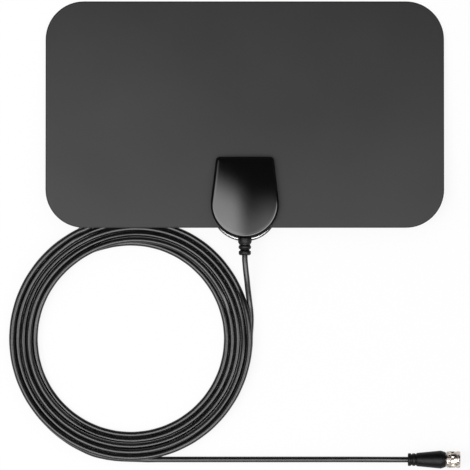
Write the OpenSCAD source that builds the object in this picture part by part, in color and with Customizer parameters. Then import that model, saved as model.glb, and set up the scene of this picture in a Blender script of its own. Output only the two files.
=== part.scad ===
// Indoor TV antenna: a flat film sheet, a two part junction box, a coax lead wound
// in a flat coil and a screw-on coax plug. Lengths are in millimetres.
// It lies as it comes to rest: the far edge of the sheet and the far edge of the back
// cover touch the table, so the sheet slopes up a little towards its lead.

/* [Sheet] */
// Width of the film sheet
sheet_w = 260; // [200:1:320]
// Height of the film sheet
sheet_h = 148; // [120:1:200]
// Corner radius of the sheet
sheet_corner = 25; // [10:1:40]
// Thickness of the back film
back_film_t = 0.3; // [0.2:0.05:0.6]
// Thickness of the front film
front_film_t = 0.5; // [0.4:0.05:1]
// Thickness of the printed foil elements
foil_t = 0.2; // [0.1:0.05:0.3]
// Width of the foil track
foil_track = 7.5; // [6:0.5:10]
// Margin between the foil and the edge of the sheet
foil_margin = 8; // [5:1:20]
// Half of the gap between the two foil elements
foil_gap = 3.5; // [2:0.5:5]

/* [Junction box] */
// Radius of the round lower end of the box
box_r = 22.2; // [20:0.1:26]
// Height of that round end's centre above the lower edge of the sheet
box_centre_y = 16; // [14:0.5:18]
// Width across the straight top edge of the box
box_top_w = 37.9; // [34:0.1:42]
// Height of the top edge of the box above the lower edge of the sheet
box_top_y = 46; // [42:0.5:60]
// Radius of the two top corners
box_corner = 2; // [1.9:0.1:4]
// Wall of the covers
cover_wall = 1.4; // [1:0.1:1.8]
// Height of the front cover at its side wall
front_side_h = 5; // [4.8:0.1:8]
// Width and height of the front cover's bevel
bevel = 1; // [0.5:0.1:1.3]
// Rise of the crowned face above the bevel
crown_rise = 0.9; // [0.3:0.1:2]
// Depth of the back cover
back_depth = 5.6; // [5.5:0.1:8]
// How far the back cover reaches past the front cover at its round end
back_ledge = 2.4; // [1:0.1:3]

/* [Inside the box] */
// Width of the matching board
board_w = 20.6; // [19:0.1:21]
// Height of the matching board
board_h = 22; // [20:0.5:23]
// Thickness of the matching board
board_t = 1; // [0.8:0.1:1.2]
// Height of the board's lower edge above the edge of the sheet
board_y = 13.5; // [13:0.5:14]
// Width, length and height of the ferrite core
core_size = [8, 7, 3]; // [2:0.5:9]
// Diameter of the two holes in the ferrite core
core_hole_d = 1.8; // [1:0.1:2]
// Diameter of a feed rivet's shank
rivet_d = 1.6; // [1.2:0.1:2]
// Diameter of a feed rivet's heads
rivet_head_d = 3; // [2.4:0.1:3.2]
// Thickness of a feed rivet's heads
rivet_head_t = 0.5; // [0.3:0.1:0.8]
// Diameter of a cover screw's shank
screw_d = 2.2; // [1.8:0.1:2.6]
// Diameter of a cover screw's head
screw_head_d = 4.2; // [3.6:0.1:4.4]
// Thickness of a cover screw's head
screw_head_t = 1.5; // [1.2:0.1:1.8]
// Wall of a screw boss around its hole
boss_wall = 1.3; // [1:0.1:1.5]

/* [Cable] */
// Outer diameter of the coax cable
cable_d = 3.75; // [3.2:0.05:3.75]
// Diameter of the cable's inner conductor
core_wire_d = 0.8; // [0.6:0.1:1]
// Distance between neighbouring strands in the coil
strand_pitch = 3.75; // [3.75:0.05:4.2]
// Number of strands side by side in the coil
strands = 5; // [4:1:6]
// Inner radius of the coil
coil_inner_r = 60.7; // [50:0.5:64]
// Distance of the coil's centre to the left of the middle of the sheet
coil_left = 74.4; // [70:0.5:80]
// Distance of the coil's centre below the lower edge of the sheet
coil_below = 72.4; // [72:0.5:80]
// Distance of the plug's axis below the lower edge of the sheet
tail_below = 151.2; // [150:0.5:156]

/* [Strain relief] */
// Diameter of the neck held between the covers
relief_neck_d = 6.2; // [5.6:0.1:6.6]
// Diameters of the three rings, from the box outwards
relief_ring_d = [8.9, 8.2, 7.9]; // [7:0.1:10]
// Length of one ring
relief_ring_l = 2; // [1.4:0.1:2.2]
// Length of the waist between two rings
relief_waist_l = 1.5; // [1:0.1:2]
// Diameter of the flange inside the box
relief_flange_d = 8; // [7.4:0.1:8.2]

/* [Plug] */
// Distance of the moulded grip's rear end from the middle of the sheet
plug_x = 106.3; // [90:0.5:120]
// Largest diameter of the moulded grip
grip_d = 11.8; // [11.2:0.1:13]
// Diameter of the grip's two rear rings
grip_ring_d = 8.4; // [7:0.1:9]
// Length of the moulded grip
grip_l = 24.9; // [22:0.1:30]
// Outer diameter of the coupling nut
nut_d = 10.8; // [10.6:0.1:11]
// Length of the coupling nut
nut_l = 9; // [8:0.1:12]
// Bore of the nut's threaded mouth
nut_bore_d = 9; // [8.8:0.1:9.2]
// Hole at the rear of the nut, which runs on the post
nut_rear_hole_d = 6.8; // [6.6:0.1:7]
// Thickness of the nut's rear wall
nut_rear_t = 1.6; // [1.2:0.1:2]
// Outer diameter of the post
post_d = 6.2; // [6:0.1:6.3]
// Bore of the post
post_bore_d = 4.4; // [4.2:0.1:4.8]
// Diameter of the post's flange
post_flange_d = 8.4; // [8.2:0.1:8.5]
// Thickness of the post's flange
post_flange_t = 1.5; // [1:0.1:2]
// Diameter of the white insulator
insulator_d = 4; // [3.6:0.1:4.1]
// Diameter of the centre pin
pin_d = 1; // [0.7:0.1:1.2]
// How far the pin's tip stays behind the mouth of the nut
pin_setback = 0.6; // [0.2:0.1:1.5]

/* [Clearances] */
// Gap between pieces that slide or turn on each other
running_gap = 0.3; // [0.2:0.05:0.4]
// Gap between pieces that are put together once
fit_gap = 0.15; // [0.05:0.05:0.25]

/* [Hidden] */

// Segments of large, middle and small circles
round_fn = 96;
small_fn = 48;
edge_fn = 24;
// A small extra length that lets one cut run past a face
past = 0.5;

sheet_t = back_film_t + front_film_t;
foil_z = back_film_t;
front_h = front_side_h + bevel + crown_rise;
inner_front_h = front_side_h + bevel - cover_wall;
crown_r = box_r / 2;
crown_y = box_centre_y + 4;
cable_r = cable_d / 2;

// The table under the sheet's far edge and under the back cover's far edge
tilt = atan(back_depth / (sheet_h - box_top_y));
lift = sheet_h * sin(tilt);

// Height of the lead's axis where it leaves the box, above the sheet's underside
axis_z = 1.2;
back_bottom_y = box_centre_y - back_ledge - box_r;
relief_start = -back_bottom_y;
relief_l = 3 * relief_ring_l + 2 * relief_waist_l;
relief_end = relief_start + relief_l;
flange_t = 1.5;
inner_r = box_r - cover_wall;
flange_y = box_centre_y - sqrt(pow(inner_r, 2) - pow(relief_flange_d / 2, 2)) + fit_gap;
sheet_notch_w = relief_flange_d + 2 * running_gap;
sheet_notch_y = 11;
jacket_y = sheet_notch_y - 2;

// The two wires bend a little before the board and lie on it for a short run
wire_setback = 1;
wire_run = 5;
knee_share = 1.15;

// The middle of the object's box, without the lead, sits over the origin
far_y = sheet_h * cos(tilt) + sheet_t * sin(tilt);
tip_low_z = axis_z - relief_ring_d[2] / 2;
near_y = -relief_end * cos(tilt) + tip_low_z * sin(tilt);
origin_y = (far_y + near_y) / 2;

// Places of the screws and rivets in the plane of the sheet
screw_x = 13.8;
screw_low_y = 9.5;
screw_high_y = box_top_y - 8;
screw_spots = [
  [-screw_x, screw_low_y], [screw_x, screw_low_y],
  [-screw_x, screw_high_y], [screw_x, screw_high_y]
];
rivet_x = foil_gap + foil_track / 2;
rivet_y = board_y + 15;
boss_r = screw_d / 2 + boss_wall;
head_recess = screw_head_t + 0.3;
screw_bite = 3.4;

// Coil
coil_w = strands * strand_pitch;
coil_outer_r = coil_inner_r + coil_w;
coil_h = 2 * cable_d;
coil_centre = [-coil_left, -coil_below - origin_y, 0];

// Plug
plug_axis_z = grip_d / 2;
plug_y = -tail_below - origin_y;
nut_x = grip_l + running_gap;
post_flange_x = nut_x + nut_rear_t + running_gap;
post_end_x = post_flange_x + post_flange_t;
pin_end_x = nut_x + nut_l - pin_setback;
post_root = 9;

// Points of the lead from the strain relief to the coil: to the right, above the
// lower edge of the sheet, and above the table
lead_route = [
  [0, -17.5, 10.3], [0, -20, 10.4], [0.3, -24, 10.2], [0.8, -29, 9.3], [1.4, -34, 7.9],
  [1.9, -39, 5.9], [2.5, -44, 3.9], [3.1, -49, 2.4], [3.7, -54, 1.9], [4, -59, 1.9],
  [3.9, -64, 1.9], [3.5, -70, 1.9]
];
// Points of the turn that lies under the sheet
loop_route = [
  [-109.5, -3, 5.5], [-103.5, -0.5, 5.5], [-99, 2.5, 5.5], [-95.5, 6.5, 5.4], [-92, 11, 5],
  [-87, 14, 4.1], [-81, 15.5, 3], [-73, 18, 2], [-67, 23.5, 1.9], [-64.5, 31.5, 1.9],
  [-65.5, 39.5, 1.9], [-70, 46.5, 1.9], [-77, 50.5, 1.9], [-85.5, 51, 1.9],
  [-93, 48, 1.9], [-98.5, 41.5, 1.9], [-100.5, 33.5, 1.9], [-98.5, 25.5, 1.9],
  [-96.5, 19.5, 1.9], [-97, 14, 1.9], [-99, 8.5, 1.9], [-103, 3, 1.9], [-108.5, -2.5, 1.9]
];
// Points of the tail from the coil to the plug
tail_route = [
  [-66, -151.2, 1.9], [-56, -151.2, 1.9], [-46, -151.2, 1.9], [-36, -151.2, 1.9],
  [-26, -151.2, 1.9], [-16, -151.2, 1.9], [-6, -151.2, 1.9], [4, -151.2, 1.9],
  [14, -151.2, 1.9], [24, -151.2, 1.9], [34, -151.2, 1.9], [44, -151.2, 1.9],
  [54, -151.2, 1.9], [64, -151.2, 1.9], [72, -151.2, 2.4], [80, -151.2, 3.4],
  [88, -151.2, 4.6], [95, -151.2, 5.5], [101, -151.2, 5.9], [106.3, -151.2, 5.9]
];

// Puts pieces that are drawn on the sheet's own plane into their resting place
module on_sheet() {
  translate([0, -origin_y, lift])
    rotate([-tilt, 0, 0])
      children();
}

// Puts pieces that are drawn along +Z onto the axis of the plug
module on_plug_axis() {
  translate([plug_x, plug_y, plug_axis_z])
    rotate([0, 90, 0])
      children();
}

// Turns pieces that are drawn along +Z to run out of the box along the lead
module along_lead() {
  translate([0, 0, axis_z])
    rotate([90, 0, 0])
      children();
}

// A rectangle with round corners, its lower edge on the X axis
module round_rect(w, h, r) {
  translate([-w / 2 + r, 0]) square([w - 2 * r, h]);
  translate([-w / 2, r]) square([w, h - 2 * r]);
  for (x = [-w / 2 + r, w / 2 - r], y = [r, h - r])
    translate([x, y]) circle(r, $fn = round_fn);
}

// The outline of the box, moved inwards by inset: a round end, two straight sides
// that touch it, and two small corners
module box_outline(inset, drop = 0) {
  r = box_r - inset;
  c = max(box_corner - inset, 0.3);
  cy = box_centre_y - drop;
  corner = [box_top_w / 2 - inset - c, box_top_y - inset - c];
  run = [corner[0], corner[1] - cy];
  side = atan2(run[1], run[0]) - acos((r - c) / norm(run));
  n = [cos(side), sin(side)];
  low = [r * n[0], cy + r * n[1]];
  high = corner + c * n;
  top_y = corner[1] + c;
  translate([0, cy]) circle(r, $fn = round_fn);
  for (s = [-1, 1])
    translate([s * corner[0], corner[1]]) circle(c, $fn = edge_fn);
  polygon([
    low, high, [corner[0], top_y], [-corner[0], top_y], [-high[0], high[1]],
    [-low[0], low[1]], [0, cy]
  ]);
}

// Drops copies of a piece at each screw
module at_screws() {
  for (spot = screw_spots)
    translate([spot[0], spot[1], 0]) children();
}

// Drops copies of a piece at the two feed rivets
module at_rivets() {
  for (s = [-1, 1])
    translate([s * rivet_x, rivet_y, 0]) children();
}

// Holes through the sheet for the screws, the rivets and the lead
module sheet_holes() {
  at_screws()
    cylinder(d = screw_d + 2 * running_gap, h = 3 * sheet_t, center = true, $fn = small_fn);
  at_rivets() cylinder(d = rivet_d, h = 3 * sheet_t, center = true, $fn = small_fn);
  translate([-sheet_notch_w / 2, -past, -sheet_t])
    cube([sheet_notch_w, sheet_notch_y + past, 3 * sheet_t]);
}

// Outline of one foil element: a loop with its inner side under the box
module element_outline(grow) {
  w = sheet_w / 2 - foil_margin - foil_gap;
  low = board_y;
  h = sheet_h - foil_margin - low;
  r = sheet_corner - foil_margin;
  translate([-foil_gap - w / 2, low])
    difference() {
      translate([0, -grow]) round_rect(w + 2 * grow, h + 2 * grow, r + grow);
      translate([0, foil_track + grow])
        round_rect(w - 2 * foil_track - 2 * grow, h - 2 * foil_track - 2 * grow, r - foil_track - grow);
    }
}

module element(side) {
  on_sheet()
    translate([0, 0, foil_z])
      mirror([side > 0 ? 1 : 0, 0, 0])
        difference() {
          linear_extrude(foil_t) element_outline(0);
          translate([-rivet_x, rivet_y, 0])
            cylinder(d = rivet_d, h = 3 * foil_t, center = true, $fn = small_fn);
        }
}

module front_film() {
  color([0.25, 0.25, 0.25])
    on_sheet()
      difference() {
        translate([0, 0, back_film_t])
          linear_extrude(front_film_t) round_rect(sheet_w, sheet_h, sheet_corner);
        for (side = [0, 1])
          mirror([side, 0, 0])
            translate([0, 0, foil_z - past])
              linear_extrude(foil_t + past) element_outline(fit_gap);
        sheet_holes();
      }
}

module back_film() {
  color([0.22, 0.22, 0.22])
    on_sheet()
      difference() {
        linear_extrude(back_film_t) round_rect(sheet_w, sheet_h, sheet_corner);
        sheet_holes();
      }
}

module left_element() {
  color([0.75, 0.55, 0.35]) element(-1);
}

module right_element() {
  color([0.75, 0.55, 0.35]) element(1);
}

module front_cover() {
  color([0.05, 0.05, 0.05])
    on_sheet()
      translate([0, 0, sheet_t]) {
        difference() {
          hull() {
            linear_extrude(front_side_h) box_outline(0);
            linear_extrude(front_side_h + bevel) box_outline(bevel);
            translate([0, crown_y, 0]) cylinder(r = crown_r, h = front_h, $fn = small_fn);
          }
          translate([0, 0, -past])
            linear_extrude(inner_front_h + past) box_outline(cover_wall);
          translate([0, 0, -sheet_t])
            along_lead() cylinder(d = relief_neck_d + 2 * fit_gap, h = relief_end, $fn = small_fn);
        }
        at_screws()
          difference() {
            cylinder(r = boss_r, h = inner_front_h, $fn = small_fn);
            translate([0, 0, -past])
              cylinder(d = screw_d, h = screw_bite + running_gap + past, $fn = small_fn);
          }
      }
}

module back_cover() {
  color([0.08, 0.08, 0.08])
    on_sheet()
      difference() {
        union() {
          difference() {
            translate([0, 0, -back_depth])
              linear_extrude(back_depth) box_outline(0, back_ledge);
            translate([0, 0, cover_wall - back_depth])
              linear_extrude(back_depth) box_outline(cover_wall, back_ledge);
          }
          at_screws()
            translate([0, 0, -back_depth])
              cylinder(r = screw_head_d / 2 + boss_wall, h = back_depth, $fn = small_fn);
        }
        at_screws() {
          translate([0, 0, -back_depth - past])
            cylinder(d = screw_d + fit_gap, h = back_depth + 2 * past, $fn = small_fn);
          translate([0, 0, -back_depth - past])
            cylinder(d = screw_head_d + 2 * fit_gap, h = head_recess + past, $fn = small_fn);
        }
        along_lead() cylinder(d = relief_neck_d + 2 * fit_gap, h = relief_end, $fn = small_fn);
      }
}

// A pan head screw with a cross recess, driven up from the back cover
module cover_screw() {
  slot_w = 0.6;
  slot_l = screw_head_d * 0.6;
  slot_depth = 0.7;
  head_z = head_recess - back_depth - screw_head_t;
  shank_l = back_depth - head_recess + screw_head_t + sheet_t + screw_bite;
  translate([0, 0, head_z])
    difference() {
      union() {
        cylinder(d = screw_head_d, h = screw_head_t, $fn = small_fn);
        cylinder(d = screw_d, h = shank_l, $fn = small_fn);
      }
      for (turn = [0, 90])
        rotate([0, 0, turn])
          translate([-slot_l / 2, -slot_w / 2, -past]) cube([slot_l, slot_w, slot_depth + past]);
    }
}

module cover_screws() {
  color([0.6, 0.6, 0.62]) on_sheet() at_screws() cover_screw();
}

module matching_board() {
  color([0.1, 0.35, 0.2])
    on_sheet()
      difference() {
        translate([-board_w / 2, board_y, sheet_t]) cube([board_w, board_h, board_t]);
        at_rivets() cylinder(d = rivet_d, h = 2 * (sheet_t + board_t + past), $fn = small_fn);
      }
}

module ferrite_core() {
  core_y = board_y + board_h - core_size[1] - 2;
  hole_x = core_size[0] / 4;
  color([0.3, 0.3, 0.32])
    on_sheet()
      translate([0, core_y, sheet_t + board_t])
        difference() {
          translate([-core_size[0] / 2, 0, 0]) cube(core_size);
          for (s = [-1, 1])
            translate([s * hole_x, -past, core_size[2] / 2])
              rotate([-90, 0, 0]) cylinder(d = core_hole_d, h = core_size[1] + 2 * past, $fn = small_fn);
        }
}

module feed_rivets() {
  color([0.7, 0.6, 0.4])
    on_sheet()
      at_rivets() {
        translate([0, 0, -rivet_head_t]) cylinder(d = rivet_head_d, h = rivet_head_t, $fn = small_fn);
        cylinder(d = rivet_d, h = sheet_t + board_t + rivet_head_t, $fn = small_fn);
        translate([0, 0, sheet_t + board_t]) cylinder(d = rivet_head_d, h = rivet_head_t, $fn = small_fn);
      }
}

// The stripped end of the cable inside the box
module cable_end() {
  color([0.1, 0.1, 0.1])
    on_sheet()
      translate([0, jacket_y, 0])
        along_lead()
          difference() {
            cylinder(d = cable_d, h = jacket_y - flange_y - flange_t, $fn = small_fn);
            translate([0, 0, -past])
              cylinder(d = core_wire_d + 2 * fit_gap, h = cable_d + past, $fn = small_fn);
          }
}

// The screen wires, twisted together and laid over to the board
module shield_tail() {
  tail_d = 1.2;
  tail_x = 4.6;
  from = [cable_r - tail_d / 2, jacket_y, axis_z];
  to = [tail_x, board_y - wire_setback, sheet_t + board_t + knee_share * tail_d / 2];
  color([0.7, 0.7, 0.72]) on_sheet() bent_wire(from, to, tail_d, wire_run);
}

module core_wire() {
  from = [0, jacket_y, axis_z];
  to = [0, board_y - wire_setback, sheet_t + board_t + knee_share * core_wire_d / 2];
  color([0.75, 0.45, 0.25])
    on_sheet() {
      bent_wire(from, to, core_wire_d, wire_run);
      translate(from)
        rotate([90, 0, 0]) cylinder(d = core_wire_d, h = cable_d - fit_gap, $fn = small_fn);
    }
}

// A round wire from one point to another, and then straight on along the board
module bent_wire(from, to, d, run) {
  step = to - from;
  turn = atan2(step[1], step[0]);
  rise = acos(step[2] / norm(step));
  translate(from)
    rotate([0, rise, turn]) cylinder(d = d, h = norm(step), $fn = small_fn);
  translate(to) {
    sphere(d = knee_share * d, $fn = small_fn);
    rotate([-90, 0, 0]) cylinder(d = d, h = run, $fn = small_fn);
  }
}

// A ribbed grommet on the lead: a flange inside the box, a neck and three rings
module strain_relief() {
  hole_r = cable_r;
  neck_r = relief_neck_d / 2;
  flange_at = -flange_y;
  round = 0.5;
  color([0.1, 0.1, 0.1])
    on_sheet()
      along_lead()
        difference() {
          union() {
            translate([0, 0, flange_at - flange_t])
              cylinder(d = relief_flange_d, h = flange_t, $fn = small_fn);
            translate([0, 0, flange_at - flange_t])
              cylinder(r = neck_r, h = relief_end - flange_at + flange_t, $fn = small_fn);
            for (i = [0:2])
              translate([0, 0, relief_start + fit_gap + i * (relief_ring_l + relief_waist_l)])
                relief_ring(relief_ring_d[i] / 2, relief_ring_l - fit_gap, round);
          }
          translate([0, 0, flange_at - flange_t - past])
            cylinder(r = hole_r, h = relief_end + flange_t + 2 * past, $fn = small_fn);
        }
}

// One ring with softened edges
module relief_ring(r, l, round) {
  cylinder(r1 = r - round, r2 = r, h = round, $fn = small_fn);
  translate([0, 0, round]) cylinder(r = r, h = l - 2 * round, $fn = small_fn);
  translate([0, 0, l - round]) cylinder(r1 = r, r2 = r - round, h = round, $fn = small_fn);
}

// Sweeps an eight sided tube along points that are given over the table
module cable_tube(route) {
  sides = 8;
  last = len(route) - 1;
  spots = [for (p = route) [p[0], p[1] - origin_y, p[2]]];
  ahead = [for (i = [0:last]) spots[min(i + 1, last)] - spots[max(i - 1, 0)]];
  across = [for (v = ahead) let (flat = norm([v[0], v[1]])) [v[1] / flat, -v[0] / flat, 0]];
  up = [for (i = [0:last]) cross(across[i], ahead[i]) / norm(ahead[i])];
  rings = [
    for (i = [0:last], k = [0:sides - 1])
      spots[i] + cable_r * (cos(k * 360 / sides) * across[i] + sin(k * 360 / sides) * up[i])
  ];
  walls = [
    for (i = [0:last - 1], k = [0:sides - 1])
      let (a = i * sides + k, b = i * sides + (k + 1) % sides)
        each [[a, b, b + sides], [a, b + sides, a + sides]]
  ];
  first_cap = [for (k = [1:sides - 2]) [0, k + 1, k]];
  last_cap = [for (k = [1:sides - 2]) [last * sides, last * sides + k, last * sides + k + 1]];
  polyhedron(points = rings, faces = concat(walls, first_cap, last_cap), convexity = 4);
}

module cable_lead() {
  color([0.08, 0.08, 0.08]) cable_tube(lead_route);
}

module cable_loop() {
  color([0.08, 0.08, 0.08]) cable_tube(loop_route);
}

module cable_tail() {
  color([0.08, 0.08, 0.08]) cable_tube(tail_route);
}

// Outer form of the wound cable
module cable_coil() {
  color([0.08, 0.08, 0.08])
    translate(coil_centre)
      rotate_extrude($fn = round_fn)
        translate([coil_inner_r + coil_w / 2, 0])
          round_rect(coil_w, coil_h, cable_r);
}

// The moulded grip: two thin rear rings, a body that grows forwards and a long front bevel
module plug_grip() {
  ring_r = grip_ring_d / 2;
  grip_r = grip_d / 2;
  groove_r = ring_r - 0.8;
  ring_l = 1.8;
  groove_l = 1.5;
  body_x = 2 * ring_l + 2 * groove_l;
  bevel_l = 3.3;
  bevel_drop = 1;
  color([0.09, 0.09, 0.09])
    on_plug_axis()
      difference() {
        rotate_extrude($fn = round_fn)
          polygon([
            [0, 0], [ring_r, 0], [ring_r, ring_l], [groove_r, ring_l], [groove_r, ring_l + groove_l],
            [ring_r, ring_l + groove_l], [ring_r, 2 * ring_l + groove_l], [groove_r, 2 * ring_l + groove_l],
            [groove_r, body_x], [ring_r + 0.3, body_x],
            [grip_r, grip_l - bevel_l], [grip_r - bevel_drop, grip_l], [0, grip_l]
          ]);
        translate([0, 0, grip_l - post_root])
          cylinder(d = post_d, h = post_root + past, $fn = small_fn);
      }
}

// The post that the nut turns on: a tube set in the grip, with a flange in the nut
module plug_post() {
  color([0.7, 0.68, 0.62])
    on_plug_axis()
      difference() {
        union() {
          translate([0, 0, grip_l - post_root])
            cylinder(d = post_d, h = post_end_x - grip_l + post_root, $fn = small_fn);
          translate([0, 0, post_flange_x]) cylinder(d = post_flange_d, h = post_flange_t, $fn = small_fn);
        }
        translate([0, 0, grip_l - post_root + cover_wall])
          cylinder(d = post_bore_d, h = post_end_x, $fn = small_fn);
      }
}

// The free turning nut, with a bevel at each end and a shallow groove
module coupling_nut() {
  edge = 0.6;
  groove_at = nut_l * 0.62;
  groove_w = 0.9;
  r = nut_d / 2;
  color([0.75, 0.72, 0.66])
    on_plug_axis()
      translate([0, 0, nut_x])
        difference() {
          rotate_extrude($fn = round_fn)
            polygon([
              [0, 0], [r - edge, 0], [r, edge], [r, groove_at], [r - edge / 2, groove_at + edge / 2],
              [r - edge / 2, groove_at + groove_w - edge / 2], [r, groove_at + groove_w],
              [r, nut_l - edge], [r - edge, nut_l], [0, nut_l]
            ]);
          translate([0, 0, -past]) cylinder(d = nut_rear_hole_d, h = nut_l + 2 * past, $fn = small_fn);
          translate([0, 0, nut_rear_t]) cylinder(d = nut_bore_d, h = nut_l, $fn = small_fn);
        }
}

module plug_insulator() {
  length = post_end_x - grip_l + post_root - cover_wall;
  color([0.92, 0.9, 0.85])
    on_plug_axis()
      translate([0, 0, grip_l - post_root + cover_wall])
        difference() {
          cylinder(d = insulator_d, h = length, $fn = small_fn);
          translate([0, 0, length / 2]) cylinder(d = pin_d, h = length, $fn = small_fn);
        }
}

module centre_pin() {
  length = post_end_x - grip_l + post_root - cover_wall;
  root_x = grip_l - post_root + cover_wall + length / 2;
  point = pin_d / 2;
  color([0.8, 0.5, 0.3])
    on_plug_axis()
      translate([0, 0, root_x]) {
        cylinder(d = pin_d, h = pin_end_x - root_x - point, $fn = small_fn);
        translate([0, 0, pin_end_x - root_x - point])
          cylinder(d1 = pin_d, d2 = pin_d / 2, h = point, $fn = small_fn);
      }
}

front_film();
back_film();
left_element();
right_element();
front_cover();
back_cover();
cover_screws();
matching_board();
ferrite_core();
feed_rivets();
cable_end();
shield_tail();
core_wire();
strain_relief();
cable_lead();
cable_coil();
cable_loop();
cable_tail();
plug_grip();
plug_post();
coupling_nut();
plug_insulator();
centre_pin();
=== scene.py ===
# %% [markdown]
# Indoor TV antenna
# A thin film sheet carries a glossy junction box on its lower edge. A ribbed strain relief
# lets the coax lead out of the box, the lead is wound in a flat coil, and a screw-on plug
# ends it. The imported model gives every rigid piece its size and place, so it is loaded first
# and nothing in it is moved. Here each visible surface gets its shape and its finish.

# %% Load the frame
from math import acos, atan, atan2, cos, degrees, hypot, pi, radians, sin

import bmesh
import bpy
from mathutils import Matrix, Vector


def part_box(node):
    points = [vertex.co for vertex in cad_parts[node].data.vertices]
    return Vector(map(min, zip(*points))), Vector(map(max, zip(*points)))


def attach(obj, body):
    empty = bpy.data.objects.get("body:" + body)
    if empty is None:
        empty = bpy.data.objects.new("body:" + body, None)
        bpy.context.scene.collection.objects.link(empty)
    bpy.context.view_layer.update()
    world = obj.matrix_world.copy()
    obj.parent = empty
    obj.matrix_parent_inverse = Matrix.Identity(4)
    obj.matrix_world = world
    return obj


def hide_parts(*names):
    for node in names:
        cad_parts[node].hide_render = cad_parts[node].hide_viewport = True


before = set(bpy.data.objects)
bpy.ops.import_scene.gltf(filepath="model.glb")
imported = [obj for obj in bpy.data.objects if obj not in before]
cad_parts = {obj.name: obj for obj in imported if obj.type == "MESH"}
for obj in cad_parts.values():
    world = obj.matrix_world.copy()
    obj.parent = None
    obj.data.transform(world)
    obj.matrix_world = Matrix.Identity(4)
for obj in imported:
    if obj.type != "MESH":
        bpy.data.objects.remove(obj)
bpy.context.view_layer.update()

ANTENNA = "antenna"
NUT = "nut"
MM = 0.001

# %% [markdown]
# Driving sizes
# The antenna lies as it comes to rest: the far edge of the sheet and the far edge of the back
# cover touch the table, so the sheet slopes up a little towards the lead. Sizes are written
# in millimetres as the maker would, and on_sheet() and on_table() turn a point of the drawing
# into a place in the scene. The drawing's Y starts at the lower edge of the sheet.

# %% Sizes of the antenna
SHEET_W = 260.0
SHEET_H = 148.0
SHEET_CORNER = 25.0
SHEET_T = 0.8
BACK_FILM_T = 0.3
BOX_R = 22.2
BOX_CENTRE_Y = 16.0
BOX_TOP_W = 37.9
BOX_TOP_Y = 46.0
BOX_CORNER = 2.4
BACK_DEPTH = 5.6
BACK_LEDGE = 2.4
# Height of the lead's axis over the underside of the sheet, where it leaves the box
AXIS_Z = 1.2
CABLE_D = 3.75
# From one strand of the coil to the next
PITCH = 3.75
COIL_INNER_R = 60.7
COIL_X = -74.4
COIL_Y = -72.4
# The last straight stretch of the lead
TAIL_Y = -151.2

TILT = atan(BACK_DEPTH / (SHEET_H - BOX_TOP_Y))
LIFT = SHEET_H * sin(TILT)
_, sheet_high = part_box("back_film")
# The far edge of the back film's underside lies on the table at this Y
ORIGIN_Y = SHEET_H * cos(TILT) - (sheet_high.y / MM - BACK_FILM_T * sin(TILT))


def on_table(x, y, z):
    """A point over the table, from the drawing's millimetres to the scene's metres."""
    return Vector((x, y - ORIGIN_Y, z)) * MM


def on_sheet(x, y, z):
    """A point in the plane of the sheet, tilted as the sheet lies."""
    across = y * cos(TILT) + z * sin(TILT)
    above = z * cos(TILT) - y * sin(TILT) + LIFT
    return on_table(x, across, above)


SHEET_TURN = Matrix.Translation(on_sheet(0, 0, 0)) @ Matrix.Rotation(-TILT, 4, "X")
print("tilt of the sheet:", round(degrees(TILT), 2), "degrees; origin offset:", round(ORIGIN_Y, 2))

# %% [markdown]
# Camera
# The product is shown from straight above, as on a copy stand. An orthographic camera would
# show its outline as well, but a long lens far away keeps the slight depth of a real picture.
# The frame covers about 307 mm, and its middle lies a little left of the middle of the sheet
# and a little below the sheet's lower edge.

# %% Look straight down
FRAME_W = 306.9
CAMERA_X = -6.4
CAMERA_Y = -4.7
CAMERA_H = 6.0

camera_data = bpy.data.cameras.new("camera")
camera_data.sensor_width = 36
camera_data.sensor_fit = "HORIZONTAL"
camera_data.lens = camera_data.sensor_width * CAMERA_H / (FRAME_W * MM)
camera_data.clip_end = 20
camera = bpy.data.objects.new("camera", camera_data)
bpy.context.scene.collection.objects.link(camera)
camera.location = on_table(CAMERA_X, CAMERA_Y, CAMERA_H / MM)
bpy.context.scene.camera = camera
print("lens:", round(camera_data.lens, 1), "mm")

# %% [markdown]
# The lead
# The lead is about 3.1 m of thin round coax, one piece from the strain relief to the plug.
# It drops to the table, runs under the outermost turn of the coil, goes once round beneath
# the others and then climbs out turn by turn in five strands. Under the sheet it turns back
# in a loop and comes round beneath the outermost strand to leave the coil at the bottom.
# It could be a chain of short tubes, but one Bezier curve with a round bevel is smooth at
# every bend. Its points are listed where the lead isn't coiled, and a loop in the code
# works out the turns. A strand that crosses another one rides over it by one diameter.

# %% Points of the uncoiled stretches
# Height of the lead's axis where it lies on the table
FLOOR_Z = 1.9
LEAD_ROUTE = [
    (0, -17.5, 10.3), (0, -20, 10.4), (0.3, -24, 10.2), (0.8, -29, 9.3), (1.4, -34, 7.9),
    (1.9, -39, 5.9), (2.5, -44, 3.9), (3.1, -49, 2.4), (3.7, -54, FLOOR_Z), (4, -59, FLOOR_Z),
    (3.9, -64, FLOOR_Z), (3.5, -70, FLOOR_Z),
]
LOOP_DOWN = [
    (-109.5, -3, 5.5), (-103.5, -0.5, 5.5), (-99, 2.5, 5.5), (-95.5, 6.5, 5.4), (-92, 11, 5),
    (-87, 14, 4.1), (-81, 15.5, 3), (-73, 18, 2),
]
LOOP_FLAT = [
    (-67, 23.5), (-64.5, 31.5), (-65.5, 39.5), (-70, 46.5), (-77, 50.5), (-85.5, 51), (-93, 48),
    (-98.5, 41.5), (-100.5, 33.5), (-98.5, 25.5), (-96.5, 19.5), (-97, 14), (-99, 8.5),
    (-103, 3), (-108.5, -2.5),
]
LOOP_ROUTE = LOOP_DOWN + [(x, y, FLOOR_Z) for x, y in LOOP_FLAT]
TAIL_RISE = [(72, 2.4), (80, 3.4), (88, 4.6), (95, 5.5), (101, 5.9), (106.3, 5.9)]
TAIL_ROUTE = [(x, TAIL_Y, FLOOR_Z) for x in range(-66, 65, 10)]
TAIL_ROUTE += [(x, TAIL_Y, z) for x, z in TAIL_RISE]
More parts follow.
